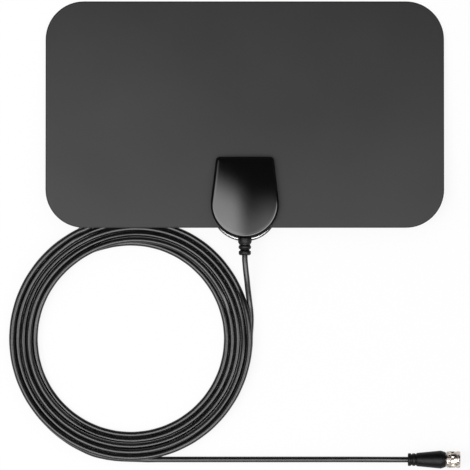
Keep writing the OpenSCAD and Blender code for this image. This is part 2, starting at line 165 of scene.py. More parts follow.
print("points by hand:", len(LEAD_ROUTE) + len(LOOP_ROUTE) + len(TAIL_ROUTE))

# %% [markdown]
# The turns of the coil
# A hand wound coil isn't a perfect spiral: most of each turn keeps its distance from the
# middle, and a short stretch shifts to the next place. So the route is told in columns. A
# column is the place of a strand across the coil, 1 for the innermost and 5 for the outermost,
# and pairs give an angle along the lead and the column there.

# %% Columns of the coil
UNDER_COLUMNS = [(-2, 5.08), (15, 5.0), (80, 4.0), (180, 2.0), (225, 1.4), (260, 1.0)]
RETURN_COLUMNS = [(121, 5.05), (150, 5.0), (215, 5.0), (265, 5.41)]
FIRST_SHIFT = 585
SHIFT_LENGTH = 90
SHIFTS = 4
TURNS_START = 4
TURNS_END = 2040
RETURN_START = 125
RETURN_END = 262
# The first turn lies on the table as far as this angle, and later ones pass over it
UNDER_END = 335
ANGLE_STEP = 10


def ease(t):
    """A smooth step from 0 to 1."""
    t = min(max(t, 0.0), 1.0)
    return t * t * (3 - 2 * t)


def between(pairs, angle):
    """The column at an angle, eased from one pair to the next."""
    for (start, first), (stop, second) in zip(pairs, pairs[1:]):
        if angle <= stop:
            return first + (second - first) * ease((angle - start) / (stop - start))
    return pairs[-1][1]


def winding_column(angle):
    """The column of the strand after that many degrees, clockwise from the right."""
    if angle <= UNDER_COLUMNS[-1][0]:
        return between(UNDER_COLUMNS, angle)
    shifts = [ease((angle - FIRST_SHIFT - 360 * turn) / SHIFT_LENGTH) for turn in range(SHIFTS)]
    return 1 + sum(shifts)


def coil_point(column, angle):
    """A place in the coil, the angle counted anticlockwise from the right."""
    r = COIL_INNER_R + (column - 0.5) * PITCH
    return COIL_X + r * cos(radians(angle)), COIL_Y + r * sin(radians(angle))


print("column after one turn:", round(winding_column(360), 2))

# %% Places where a strand lies on the table under others
# The lead is low from this point of its route on, and each step there is cut in some parts
LOW_POINT = 6
PARTS = 5

# The first turn, the way back beneath the outermost strand, the tail and the lead's start
below = [coil_point(winding_column(a), -a) for a in range(-2, UNDER_END)]
below += [coil_point(between(RETURN_COLUMNS, a), a) for a in range(112, 266)]
below += [(x, TAIL_Y) for x in range(-81, -20)]
for (ax, ay, _), (bx, by, _) in zip(LEAD_ROUTE[LOW_POINT:], LEAD_ROUTE[LOW_POINT + 1:]):
    below += [(ax + (bx - ax) * k / PARTS, ay + (by - ay) * k / PARTS) for k in range(PARTS)]
print("places that a strand may have to pass over:", len(below))

# %% Wind the coil
# In diameters: a strand this far from one below lies on the table again, and rises over this
CLEAR_GAP = 1.6
RISE_GAP = 1.2


def strand_height(x, y):
    """Half a diameter on the table, and a whole diameter more over a strand below."""
    gap = min(hypot(x - px, y - py) for px, py in below) / CABLE_D
    return FLOOR_Z + CABLE_D * ease((CLEAR_GAP - gap) / RISE_GAP)


def tucked(x, y, z):
    """A raised strand leans a little inwards, so no gap opens beside it as seen from above."""
    lean = (z - FLOOR_Z) / CAMERA_H * MM
    return x + (CAMERA_X - x) * lean, y + (CAMERA_Y - y) * lean, z


turns = []
for angle in range(TURNS_START, TURNS_END + 1, ANGLE_STEP):
    x, y = coil_point(winding_column(angle), -angle)
    z = FLOOR_Z if angle <= UNDER_END else strand_height(x, y)
    turns.append(tucked(x, y, z))
back_round = []
for angle in range(RETURN_START, RETURN_END, ANGLE_STEP):
    x, y = coil_point(between(RETURN_COLUMNS, angle), angle)
    back_round.append((x, y, FLOOR_Z))
route = LEAD_ROUTE + turns + LOOP_ROUTE + back_round + TAIL_ROUTE
route_m = [on_table(*p) for p in route]
straight = sum((b - a).length for a, b in zip(route_m, route_m[1:]))
print("route points:", len(route), "length along them:", round(straight, 3), "m")

# %% Draw the lead as one smooth curve
lead_data = bpy.data.curves.new("lead", "CURVE")
lead_data.dimensions = "3D"
lead_data.resolution_u = 6
lead_data.bevel_depth = CABLE_D / 2 * MM
lead_data.bevel_resolution = 8
lead_data.use_fill_caps = True
spline = lead_data.splines.new("BEZIER")
spline.bezier_points.add(len(route_m) - 1)
for bezier, place in zip(spline.bezier_points, route_m):
    bezier.co = place
    bezier.handle_left_type = "AUTO"
    bezier.handle_right_type = "AUTO"
# Where the lead lies on the table its handles are level, so it never dips into the table
lying = [p for p in spline.bezier_points if p.co.z < (FLOOR_Z + 0.1) * MM]
for bezier in lying:
    level = bezier.co.z
    handles = bezier.handle_left.copy(), bezier.handle_right.copy()
    bezier.handle_left_type = "FREE"
    bezier.handle_right_type = "FREE"
    bezier.handle_left = (handles[0].x, handles[0].y, level)
    bezier.handle_right = (handles[1].x, handles[1].y, level)
print("points that lie on the table:", len(lying))
lead = bpy.data.objects.new("lead", lead_data)
bpy.context.scene.collection.objects.link(lead)
print("the lead is one open curve of", len(spline.bezier_points), "points")

# %% [markdown]
# Shader maths as plain expressions
# A material's pattern is easier to read as an expression than as a web of nodes. Value wraps
# one output socket, and its operators add the Math nodes. Tree holds a node tree and makes
# any other node, its settings first and then its inputs. The studio's light uses it too.


# %% A socket that can be added and multiplied
class Value:
    """One output socket of a node, with the operators that the finishes need."""

    def __init__(self, tree, socket):
        self.tree = tree
        self.socket = socket

    def maths(self, operation, a, b=0.0):
        return self.tree.node("ShaderNodeMath", {"operation": operation}, {0: a, 1: b})

    def __add__(self, other):
        return self.maths("ADD", self, other)

    def __radd__(self, other):
        return self.maths("ADD", other, self)

    def __sub__(self, other):
        return self.maths("SUBTRACT", self, other)

    def __rsub__(self, other):
        return self.maths("SUBTRACT", other, self)

    def __mul__(self, other):
        return self.maths("MULTIPLY", self, other)

    def __rmul__(self, other):
        return self.maths("MULTIPLY", other, self)

    def size(self):
        return self.maths("ABSOLUTE", self)

    def root(self):
        return self.maths("SQRT", self)

    def most(self, other):
        return self.maths("MAXIMUM", self, other)

    def smooth(self, low, high):
        """0 below low, 1 above high and an eased step between them."""
        settings = {"interpolation_type": "SMOOTHSTEP"}
        return self.tree.node("ShaderNodeMapRange", settings, {0: self, 1: low, 2: high})


# %% A node tree that makes its own nodes
class Tree:
    """A node tree, with one method for any node and a few for common ones."""

    def __init__(self, node_tree):
        self.nodes = node_tree.nodes
        self.links = node_tree.links

    def node(self, kind, settings=None, inputs=None, output=0):
        made = self.nodes.new(kind)
        for key, value in (settings or {}).items():
            setattr(made, key, value)
        for key, value in (inputs or {}).items():
            self.feed(made.inputs[key], value)
        return Value(self, made.outputs[output]) if made.outputs else made

    def feed(self, socket, value):
        if isinstance(value, Value):
            self.links.new(value.socket, socket)
        else:
            socket.default_value = value

    def axes(self, vector):
        """The three parts of a vector."""
        made = self.nodes.new("ShaderNodeSeparateXYZ")
        self.feed(made.inputs[0], vector)
        return [Value(self, socket) for socket in made.outputs]

    def place(self):
        return self.node("ShaderNodeTexCoord", output="Object")

    def noise(self, scale, detail=3.0, roughness=0.5, where=None):
        inputs = {
            "Vector": where or self.place(),
            "Scale": scale,
            "Detail": detail,
            "Roughness": roughness,
        }
        return self.node("ShaderNodeTexNoise", {}, inputs)

    def bump(self, height, strength, distance, under=None):
        inputs = {"Height": height, "Strength": strength, "Distance": distance}
        if under is not None:
            inputs["Normal"] = under
        return self.node("ShaderNodeBump", {}, inputs)

    def mix(self, factor, first, second):
        inputs = {"Factor": factor, 6: first, 7: second}
        return self.node("ShaderNodeMix", {"data_type": "RGBA"}, inputs, output=2)


class Finish(Tree):
    """One material, built from a Principled shader and expressions."""

    def __init__(self, name, colour, roughness, **constants):
        self.material = bpy.data.materials.new(name)
        self.material.use_nodes = True
        super().__init__(self.material.node_tree)
        self.shader = self.nodes["Principled BSDF"]
        self.material.diffuse_color = (*colour, 1)
        self.set("Base Color", (*colour, 1))
        self.set("Roughness", roughness)
        for socket, value in constants.items():
            self.set(socket.replace("_", " "), value)
        print("finish:", name)

    def set(self, socket, value):
        self.feed(self.shader.inputs[socket], value)

    def vary(self, noise, dark, light):
        self.set("Base Color", self.mix(noise.smooth(0.3, 0.7), (*dark, 1), (*light, 1)))

    def put_on(self, *pieces):
        for piece in pieces:
            piece.data.materials.clear()
            piece.data.materials.append(self.material)


# %% [markdown]
# Finishes
# Nearly everything is black, so what tells one surface from another is its gloss. The film
# is satin, with a fine grain. It isn't quite flat: it domes by a few millimetres, which a
# large soft bump gives, so one side of it catches more light. A narrow band along the outline
# is painted near black: painted shade for the dark edge of the sheet. The band could be a
# strip of its own, but it is flush, so the distance from the sheet's rounded outline, worked
# out from the place, colours it.


# %% The film
RIM = 0.9 * MM
# Near black of the painted shade in a band along the sheet's outline
PAINTED_EDGE_SHADE = 0.002
DOME_CURVE = 0.42
DOME_LENGTHWAYS = 1.3
WAVES = 0.0016


def grey(tone):
    return (tone, tone, tone)


def make_film(name, tone):
    film = Finish(name, grey(tone), 0.42, Specular_IOR_Level=0.18)
    x, y, _ = film.axes(film.place())
    half_w = SHEET_W / 2 * MM
    middle = on_sheet(0, SHEET_H / 2, 0).y
    half_h = SHEET_H / 2 * MM * cos(TILT)
    corner = SHEET_CORNER * MM
    over_x = (x.size() - (half_w - corner)).most(0.0)
    over_y = ((y - middle).size() - (half_h - corner)).most(0.0)
    straight = (x.size() - half_w).most((y - middle).size() - half_h)
    rounded = (over_x * over_x + over_y * over_y).root() - corner
    # Painted shade: a band along the rounded outline turns near black, for the dark edge of the
    # sheet
    edge = straight.most(rounded).smooth(-RIM, -0.4 * RIM)
    cloud = film.noise(14, 2.0, 0.45)
    body = film.mix(cloud.smooth(0.25, 0.75), (*grey(tone * 0.9), 1), (*grey(tone * 1.1), 1))
    film.set("Base Color", film.mix(edge, body, (*grey(PAINTED_EDGE_SHADE), 1)))
    film.set("Roughness", 0.4 + 0.06 * film.noise(50, 2.0))
    bowl = x * x + DOME_LENGTHWAYS * (y - middle) * (y - middle)
    slow = film.bump(bowl * -DOME_CURVE + film.noise(9, 1.0) * WAVES, 1.0, 1.0)
    film.set("Normal", film.bump(film.noise(9000, 2.0, 0.6), 0.1, 0.00002, slow))
    return film


film_front = make_film("film front", 0.0255)
film_back = make_film("film back", 0.016)


# %% [markdown]
# Covers and jacket
# The covers are black plastic from a polished mould, so they mirror the studio. Only the steep
# side wall of the front cover is satin, which gives the box its dark outline from above. It
# could be a piece or a material slot of its own. Here one material does both: the surface's
# own normal says how steep it stands, and a Mix Shader turns from polished to matt with it.
# The jacket of the lead is shiny, with a faint drawn grain.


# %% Covers and jacket
def make_gloss(name, tone, roughness):
    gloss = Finish(name, grey(tone), roughness, Specular_IOR_Level=0.5)
    gloss.vary(gloss.noise(30, 2.0), grey(tone * 0.8), grey(tone * 1.3))
    gloss.set("Roughness", roughness + 0.04 * gloss.noise(300, 4.0))
    gloss.set("Normal", gloss.bump(gloss.noise(2200, 2.0), 0.04, 0.00001))
    return gloss


def matt_where_steep(finish):
    """Mixes in matt black where the surface stands steep, as on a satin side wall."""
    _, _, upright = finish.axes(finish.node("ShaderNodeTexCoord", output="Normal"))
    side = {"Base Color": (*grey(0.002), 1), "Roughness": 0.6, "Specular IOR Level": 0.06}
    matt = finish.node("ShaderNodeBsdfPrincipled", {}, side)
    polished = Value(finish, finish.shader.outputs[0])
    # All matt at 50 degrees from level, all polished at 37
    steep = 1.0 - upright.smooth(0.64, 0.8)
    both = finish.node("ShaderNodeMixShader", {}, {0: steep, 1: polished, 2: matt})
    finish.feed(finish.nodes["Material Output"].inputs["Surface"], both)


def make_jacket():
    jacket = Finish("cable jacket", grey(0.005), 0.2, Specular_IOR_Level=0.45)
    jacket.vary(jacket.noise(130, 2.0), grey(0.004), (0.008, 0.008, 0.009))
    jacket.set("Roughness", 0.2 + 0.08 * jacket.noise(700, 3.0))
    jacket.set("Normal", jacket.bump(jacket.noise(1800, 2.0), 0.12, 0.00003))
    return jacket


cover_gloss = make_gloss("cover gloss", 0.0018, 0.08)
matt_where_steep(cover_gloss)
back_gloss = make_gloss("back cover gloss", 0.006, 0.22)
jacket = make_jacket()


# %% [markdown]
# Mouldings and metals
# The strain relief and the grip come from a mould with a spark eroded texture, so one fine
# noise feeds both their bump and their roughness. Metals are warm nickel, steel, copper and
# brass. Handled plating is never even, so a stain varies its colour and its gloss.


# %% Mouldings and metals
def make_moulding(name, colour, roughness, grain_size, depth, shine=0.4):
    moulding = Finish(name, colour, roughness, Specular_IOR_Level=shine)
    spark = moulding.noise(grain_size, 3.0, 0.65)
    dark = tuple(0.8 * c for c in colour)
    light = tuple(min(1.2 * c, 1) for c in colour)
    moulding.vary(moulding.noise(90, 2.0), dark, light)
    moulding.set("Roughness", roughness + 0.15 * spark)
    moulding.set("Normal", moulding.bump(spark, 0.5, depth))
    return moulding


def make_metal(name, colour, roughness, dullness=0.78):
    metal = Finish(name, colour, roughness, Metallic=1.0)
    stain = metal.noise(700, 3.0, 0.6)
    metal.vary(stain, tuple(dullness * c for c in colour), colour)
    metal.set("Roughness", roughness + 0.16 * metal.noise(1500, 3.0))
    metal.set("Normal", metal.bump(metal.noise(3000, 2.0), 0.12, 0.00003))
    return metal


grommet_black = make_moulding("grommet black", grey(0.003), 0.36, 1800, 0.00016, 0.2)
grip_black = make_moulding("grip black", grey(0.003), 0.32, 1300, 0.00016, 0.13)
nickel = make_metal("warm nickel", (0.8, 0.72, 0.65), 0.22, 0.25)
# Bright metal for the lip between the covers: a painted reflection of the white on the back
# cover's glossy rim
painted_reflection_metal = make_metal("painted reflection metal", grey(0.7), 0.25, 0.9)
screw_steel = make_metal("screw steel", (0.55, 0.55, 0.57), 0.3)
copper = make_metal("bare copper", (0.85, 0.5, 0.32), 0.25)
brass = make_metal("rivet brass", (0.78, 0.62, 0.34), 0.3)
foil = make_metal("printed foil", (0.76, 0.76, 0.78), 0.25)
tinned = make_metal("tinned wires", (0.78, 0.78, 0.8), 0.3)
insulator_white = make_moulding("milky insulator", (0.8, 0.79, 0.75), 0.4, 1500, 0.00002)
board_green = make_moulding("board lacquer", (0.03, 0.16, 0.07), 0.3, 800, 0.00002)
ferrite_grey = make_moulding("ferrite", grey(0.06), 0.6, 2200, 0.00006)

# %% [markdown]
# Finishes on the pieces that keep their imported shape
# The films, the back cover, the pieces inside the box and the inner parts of the plug already
# have their true shape, so each only takes its finish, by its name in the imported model.

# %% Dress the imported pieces
KEPT = {
    "front_film": film_front,
    "back_film": film_back,
    "back_cover": back_gloss,
    "left_element": foil,
    "right_element": foil,
    "cover_screws": screw_steel,
    "matching_board": board_green,
    "ferrite_core": ferrite_grey,
    "feed_rivets": brass,
    "cable_end": jacket,
    "shield_tail": tinned,
    "core_wire": copper,
    "plug_post": nickel,
    "plug_insulator": insulator_white,
    "centre_pin": copper,
}
for name, finish in KEPT.items():
    finish.put_on(bpy.data.objects[name])
jacket.put_on(lead)
print("dressed nodes:", len(KEPT))

# %% [markdown]
# Helpers for modelling by operators
# Each piece starts as a circle that edit mode shapes. Operators act on what is selected, so
# everything is deselected before a piece is added, and parts of it are picked by their place.
# A finished piece keeps its place in its mesh, and its object stays at the origin.


# %% Start a piece, pick parts of it and pull them
# Points closer than this are one point
SAME_POINT = 0.005 * MM


def start_circle(name, sides, r, fill):
    """Adds a circle in edit mode, centred on the origin, all of it selected."""
    bpy.ops.object.select_all(action="DESELECT")
    bpy.ops.mesh.primitive_circle_add(vertices=sides, radius=r * MM, fill_type=fill)
    piece = bpy.context.object
    piece.name = name
    bpy.ops.object.mode_set(mode="EDIT")
    bpy.ops.mesh.select_mode(type="VERT")
    bpy.ops.mesh.select_all(action="SELECT")
    return piece


def pick(piece, kind, test):
    """Selects the vertices, edges or faces whose middle passes the test, in millimetres."""
    bpy.ops.mesh.select_mode(type=kind)
    bpy.ops.mesh.select_all(action="DESELECT")
    work = bmesh.from_edit_mesh(piece.data)
    if kind == "VERT":
        found = [v for v in work.verts if test(v.co / MM)]
    elif kind == "EDGE":
        found = [e for e in work.edges if test((e.verts[0].co + e.verts[1].co) / 2 / MM)]
    else:
        found = [f for f in work.faces if test(f.calc_center_median() / MM)]
    for element in found:
        element.select_set(True)
    work.select_flush_mode()
    bmesh.update_edit_mesh(piece.data)
    return len(found)


def extrude(x, y, z):
    """Extrudes what is selected and moves it, in millimetres."""
    shift = (x * MM, y * MM, z * MM)
    bpy.ops.mesh.extrude_region_move(TRANSFORM_OT_translate={"value": shift})


# %% Cut, close and finish a piece
def apply_modifier(piece, kind, **settings):
    modifier = piece.modifiers.new(kind.lower(), kind)
    for key, value in settings.items():
        setattr(modifier, key, value)
    bpy.context.view_layer.objects.active = piece
    bpy.ops.object.modifier_apply(modifier=modifier.name)


def cut_away(piece, cutter):
    """Takes one piece's space out of another and removes the cutting piece."""
    apply_modifier(piece, "BOOLEAN", operation="DIFFERENCE", solver="EXACT", object=cutter)
    bpy.data.objects.remove(cutter)


def close_up(piece):
    """Merges doubles, points the faces outwards and leaves edit mode."""
    if piece.mode == "OBJECT":
        bpy.context.view_layer.objects.active = piece
        bpy.ops.object.mode_set(mode="EDIT")
    bpy.ops.mesh.select_all(action="SELECT")
    bpy.ops.mesh.remove_doubles(threshold=SAME_POINT)
    bpy.ops.mesh.normals_make_consistent(inside=False)
    bpy.ops.object.mode_set(mode="OBJECT")


def finish_piece(piece, angle, place):
    """Closes the piece, puts it in place and smooths its faces up to an angle."""
    close_up(piece)
    piece.data.transform(place)
    bpy.ops.object.select_all(action="DESELECT")
    piece.select_set(True)
    bpy.context.view_layer.objects.active = piece
    bpy.ops.object.shade_smooth_by_angle(angle=radians(angle))
    print(piece.name, "has", len(piece.data.polygons), "faces")


# %% [markdown]
# The junction box
# Seen from above the box is a circle whose top half is cut off and drawn up to a narrower
# straight edge with two small round corners. A cube could be subdivided and pulled to that
# shape, but its round end would never be quite round. So a circle is bisected where the
# straight sides touch it, the cut edge is extruded and scaled to the top, and its corners are
# bevelled. Both the front cover and the lip start from this outline.


# %% The outline of the box as one face
BOX_SIDES = 144
CORNER_STEPS = 8
LEAST_CORNER = 0.3
SIDE_CUTS = 11
TOP_CUTS = 15
NEAR = 0.01


def box_face(name, inset, drop):
    """The box's outline as a flat face at height 0, moved inwards by inset."""
    r = BOX_R - inset
    corner = max(BOX_CORNER - inset, LEAST_CORNER)
    centre_y = BOX_CENTRE_Y - drop
    run_x = BOX_TOP_W / 2 - inset - corner
    run_y = BOX_TOP_Y - inset - corner - centre_y
    side = atan2(run_y, run_x) - acos((r - corner) / hypot(run_x, run_y))
    low_x, low_y = r * cos(side), centre_y + r * sin(side)
    top = BOX_TOP_Y - inset
    # Where the straight side would meet the top edge if the corner were sharp
    sharp_x = low_x - (top - low_y) * sin(side) / cos(side)
    piece = start_circle(name, BOX_SIDES, r, "NGON")
    bpy.ops.transform.translate(value=(0, centre_y * MM, 0))
    bpy.ops.mesh.bisect(plane_co=(0, low_y * MM, 0), plane_no=(0, 1, 0), clear_outer=True)
    pick(piece, "EDGE", lambda p: abs(p.y - low_y) < NEAR and abs(p.x) < low_x - 1)
    extrude(0, top - low_y, 0)
    bpy.ops.transform.resize(value=(sharp_x / low_x, 1, 1), center_override=(0, top * MM, 0))
    pick(piece, "VERT", lambda p: p.y > top - NEAR)
    reach = corner / sin((pi / 2 + side) / 2) * cos((pi / 2 + side) / 2)
    bpy.ops.mesh.bevel(offset=reach * MM, segments=CORNER_STEPS, affect="VERTICES")
    pick(piece, "FACE", lambda p: True)
    bpy.ops.mesh.dissolve_faces()
    # The straight edges are cut as finely as the round ones, for even rings on the face
    edge_y = (low_y + top) / 2
    pick(piece, "EDGE", lambda p: abs(p.y - edge_y) < 3 and abs(p.x) > 10)
    bpy.ops.mesh.subdivide(number_cuts=SIDE_CUTS)
    pick(piece, "EDGE", lambda p: p.y > top - NEAR and abs(p.x) < 3)
    bpy.ops.mesh.subdivide(number_cuts=TOP_CUTS)
    pick(piece, "FACE", lambda p: True)
    bpy.ops.mesh.dissolve_faces()
    return piece


# %% [markdown]
# The front cover
# The front cover's edge is rolled over in small steps, and the face inside it is a low dome.
# A bevel would round the edge evenly, but the real one turns quickly and then runs out slowly,
# so a few insets give the edge, and rings that shrink towards the middle give the face. Then
# each point of the rim and the face drops with the square of its distance from the dome's
# middle.

# %% Shape the front cover
SIDE_H = 4.3
FACE_H = 6.0
FRONT_DROP = 0.6
TOP_Z = 6.9
DOME_Y = 20.0
DOME_REACH = 26.0
DOME_DROP = 1.3
RINGS = 16
# Each step of the edge: how far inwards, and its share of the rise from the side to the face
ROLL = [(0.75, 0.72), (0.12, 0.1), (0.14, 0.08), (0.2, 0.06), (0.55, 0.04)]

front_cover = box_face("box_front", 0.0, FRONT_DROP)
extrude(0, 0, SIDE_H)
for inwards, upwards in ROLL:
    rise = upwards * (FACE_H - SIDE_H)
    bpy.ops.mesh.inset(thickness=inwards * MM, depth=rise * MM)
middle = (0, DOME_Y * MM, FACE_H * MM)
for ring in range(RINGS - 1):
    share = (RINGS - ring - 1) / (RINGS - ring)
    bpy.ops.mesh.extrude_region_move()
    bpy.ops.transform.resize(value=(share, share, 1), center_override=middle)
bpy.ops.mesh.merge(type="CENTER")
count = pick(front_cover, "FACE", lambda p: p.z < NEAR)
bpy.ops.mesh.delete(type="FACE")
bpy.ops.object.mode_set(mode="OBJECT")
for vertex in front_cover.data.vertices:
    if vertex.co.z > (SIDE_H - NEAR) * MM:
        away = hypot(vertex.co.x, vertex.co.y - DOME_Y * MM) / MM
        vertex.co.z += (TOP_Z - FACE_H - DOME_DROP * (away / DOME_REACH) ** 2) * MM
print("bottom faces removed:", count)

# %% Give the front cover its wall and its place
WALL = 1.4
NECK_R = 3.25
# Turns what stands along +Z so that it points away from the box along the lead
TO_LEAD = Matrix.Rotation(radians(90), 4, "X")


def neck_cutter(r):
    """A round bar along the lead, to cut the hole that the grommet sits in."""
    bpy.ops.object.select_all(action="DESELECT")
    bpy.ops.mesh.primitive_cylinder_add(vertices=48, radius=r * MM, depth=40 * MM)
    bar = bpy.context.object
    bar.name = "neck_bar"
    bar.data.transform(Matrix.Translation((0, -10 * MM, AXIS_Z * MM)) @ TO_LEAD)
    return bar


close_up(front_cover)
apply_modifier(front_cover, "SOLIDIFY", thickness=WALL * MM, offset=-1)
front_cover.data.transform(Matrix.Translation((0, 0, SHEET_T * MM)))
cut_away(front_cover, neck_cutter(NECK_R))
finish_piece(front_cover, 50, SHEET_TURN)
cover_gloss.put_on(front_cover)
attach(front_cover, ANTENNA)
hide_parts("front_cover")

# %% [markdown]
# The bright lip, a painted reflection
# The back cover reaches a little past the front one at the round end. A bright metal lip lies
# on that ledge, as thick as the film: a painted reflection, standing for the white that the
# glossy rim of the back cover mirrors. A bent strip could follow the ledge, but its ends would
# have to be fitted. So the lip is the box's outline as a thin plate, with the space of the
# front cover, the part under the film and a round hole for the grommet cut away.

# %% The bright lip between the covers, a painted reflection
LIP_T = 0.75
# How far the lip keeps off the ledge's edge, the front cover and the hole in that cover
LIP_INSET = 0.7
LIP_GAP = 0.5
LIP_CLEAR = 1.25
# It ends just below the sheet's lower edge
LIP_TOP_Y = -0.3
LIP_BEVEL = 0.12
CUTTER_H = 4.0

lip = box_face("painted_reflection_lip", LIP_INSET, BACK_LEDGE)
extrude(0, 0, LIP_T)
pick(lip, "FACE", lambda p: True)
bpy.ops.mesh.normals_make_consistent(inside=False)
bpy.ops.mesh.bisect(
    plane_co=(0, LIP_TOP_Y * MM, 0), plane_no=(0, 1, 0), clear_outer=True, use_fill=True
)
bpy.ops.object.mode_set(mode="OBJECT")
inside = box_face("lip_cutter", -LIP_GAP, FRONT_DROP)
extrude(0, 0, CUTTER_H)
pick(inside, "FACE", lambda p: True)
bpy.ops.mesh.normals_make_consistent(inside=False)
bpy.ops.object.mode_set(mode="OBJECT")
inside.data.transform(Matrix.Translation((0, 0, -CUTTER_H / 2 * MM)))
cut_away(lip, inside)
cut_away(lip, neck_cutter(NECK_R + LIP_CLEAR))
apply_modifier(lip, "BEVEL", width=LIP_BEVEL * MM, segments=2, limit_method="ANGLE")
finish_piece(lip, 40, SHEET_TURN)
# The lip's bright metal is a painted reflection of the back cover's glossy rim
painted_reflection_metal.put_on(lip)
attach(lip, ANTENNA)

# %% [markdown]
# Turned pieces
# The grommet, the grip and the nut are round all over. Spinning a profile would do, but here
# a circle is extruded and scaled from station to station, each a pair of length and radius, as
# a lathe follows a template. So every size can be read along the piece.


# %% Follow a template
def turned(name, stations, sides, closed):
    """A round piece along +Z. A closed one has caps, another one returns to its start."""
    along, r = stations[0]
    piece = start_circle(name, sides, r, "NGON" if closed else "NOTHING")
    bpy.ops.transform.translate(value=(0, 0, along * MM))
    for next_along, next_r in stations[1:]:
        extrude(0, 0, next_along - along)
        grow = next_r / r
        middle = (0, 0, next_along * MM)
        bpy.ops.transform.resize(value=(grow, grow, 1), center_override=middle)
        along, r = next_along, next_r
    bpy.ops.mesh.select_all(action="SELECT")
    bpy.ops.mesh.remove_doubles(threshold=SAME_POINT)
    return piece


# %% [markdown]
# The ribbed grommet
# The grommet is a soft moulding round the lead. A flange inside the box holds it, its neck
# fills the hole between the covers, and outside a collar and two rings with waists between
# them let it bend a little with the lead. Rings could be slipped on a tube, but one template
# with rounded shoulders looks moulded in one shot, as the real one is.

# %% The ribbed grommet where the lead leaves the box
FLANGE_START = 2.76
FLANGE_END = 4.26
FLANGE_R = 3.9
COLLAR_START = 6.85
MOUTH_R = 3.1
JACKET_GAP = 0.02
HOLE_R = CABLE_D / 2 + JACKET_GAP
stations = [
    (FLANGE_START, HOLE_R), (FLANGE_START, FLANGE_R), (FLANGE_END, FLANGE_R),
    (FLANGE_END, MOUTH_R), (COLLAR_START, MOUTH_R), (6.9, 4.1), (7.2, 4.45), (8.9, 4.5),
    (9.8, 4.3), (10.5, 3.85), (11.0, 3.5), (11.4, 3.5), (11.8, 3.85), (12.3, 4.1), (13.1, 4.1),
    (13.7, 3.85), (14.1, 3.2), (14.5, 3.0), (14.9, 3.2), (15.2, 3.8), (15.6, 4.0), (17.0, 4.0),
    (17.5, 3.8), (17.95, 3.1), (17.98, HOLE_R), (FLANGE_START, HOLE_R),
]
grommet = turned("grommet", stations, 64, False)
on_lead = SHEET_TURN @ Matrix.Translation((0, 0, AXIS_Z * MM)) @ TO_LEAD
finish_piece(grommet, 40, on_lead)
grommet_black.put_on(grommet)
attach(grommet, ANTENNA)
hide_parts("strain_relief")

# %% [markdown]
# The plug's grip
# The grip has two thin rings at the rear and grows straight to a long front bevel. The metal
# post stands in a hole in its front end, which the last two stations turn back into.

# %% The moulded grip
PLUG_X = 106.3
PLUG_AXIS_Z = 5.9
GRIP_L = 24.9
POST_HOLE_R = 3.1
POST_HOLE_END = 15.9
# Turns what stands along +Z so that it points along the tail of the lead
TO_PLUG = Matrix.Translation(on_table(PLUG_X, TAIL_Y, PLUG_AXIS_Z)) @ Matrix.Rotation(
    radians(90), 4, "Y"
)
grip = turned(
    "grip",
    [
        (0, 2.4), (0.03, 3.6), (0.3, 4.05), (0.7, 4.2), (1.6, 4.2), (2.05, 4.0), (2.25, 3.6),
        (2.7, 3.55), (2.95, 3.95), (3.3, 4.12), (4.4, 4.15), (4.8, 4.05), (5.05, 3.75),
        (5.45, 3.75), (5.75, 4.2), (6.2, 4.42), (10, 4.78), (14, 5.17), (18, 5.55), (21, 5.84),
        (21.6, 5.88), (22.1, 5.74), (23.2, 5.36), (24.3, 5.0), (24.75, 4.75), (GRIP_L, 4.4),
        (GRIP_L, POST_HOLE_R), (POST_HOLE_END, POST_HOLE_R),
    ],
    72,
    True,
)
finish_piece(grip, 40, TO_PLUG)
grip_black.put_on(grip)
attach(grip, ANTENNA)
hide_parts("plug_grip")

# %% [markdown]
# The coupling nut
# The coupling nut turns on the post. Outside it has a groove and three rows of square cells,
# every other one pressed in as by a knurling wheel, and inside a fine thread. A helix would
# look the same at this size, so the thread is drawn as close rings.

# %% The coupling nut
NUT_X = GRIP_L + 0.3
NUT_R = 5.4
NUT_L = 9.0
BORE_R = 4.5
THREAD_R = 4.72
THREAD_END = 8.6
THREAD_PITCH = 0.8
REAR_HOLE_R = 3.4
CELLS = 16
CELL_SLOPE = 0.55
CELL_DEPTH = 0.42
BANDS = [(0.9, 3.0), (3.0, 5.1), (6.7, 8.3)]

outside = [
    (0, REAR_HOLE_R), (0, 4.7), (0.2, 5.05), (0.6, NUT_R), (0.9, NUT_R), (3.0, NUT_R),
    (5.1, NUT_R), (5.4, NUT_R), (5.65, 5.05), (6.15, 5.05), (6.4, NUT_R), (6.7, NUT_R),
    (8.3, NUT_R), (8.6, 5.25), (NUT_L, 5.0), (NUT_L, 4.75),
]
thread = []
for turn in range(8):
    start = THREAD_END - THREAD_PITCH * turn
    thread += [(start, BORE_R), (start - THREAD_PITCH / 2, THREAD_R)]
inside = thread + [(1.9, BORE_R), (1.6, BORE_R), (1.6, REAR_HOLE_R), (0, REAR_HOLE_R)]
nut = turned("nut_ring", outside + inside, 4 * CELLS, False)
bpy.ops.mesh.normals_make_consistent(inside=False)


def in_cell(p, band, cell):
    """True for a face of the nut's outer wall that lies in one cell of a band."""
    low, high = band
    turn = degrees(atan2(p.y, p.x)) % 360 * CELLS / 360
    return low < p.z < high and hypot(p.x, p.y) > NUT_R - 0.2 and cell < turn < cell + 1


for row, band in enumerate(BANDS):
    for cell in range(row % 2, CELLS, 2):
        pick(nut, "FACE", lambda p: in_cell(p, band, cell))
        bpy.ops.mesh.inset(thickness=CELL_SLOPE * MM, depth=-CELL_DEPTH * MM)
finish_piece(nut, 30, TO_PLUG @ Matrix.Translation((0, 0, NUT_X * MM)))
nickel.put_on(nut)
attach(nut, NUT)
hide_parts("coupling_nut")

# %% [markdown]
# The lead joins the antenna
# The lead was drawn first, before its ends had any shape. Now that the plug is there, the lead
# joins the antenna's body, and the imported pieces of the lead are hidden.

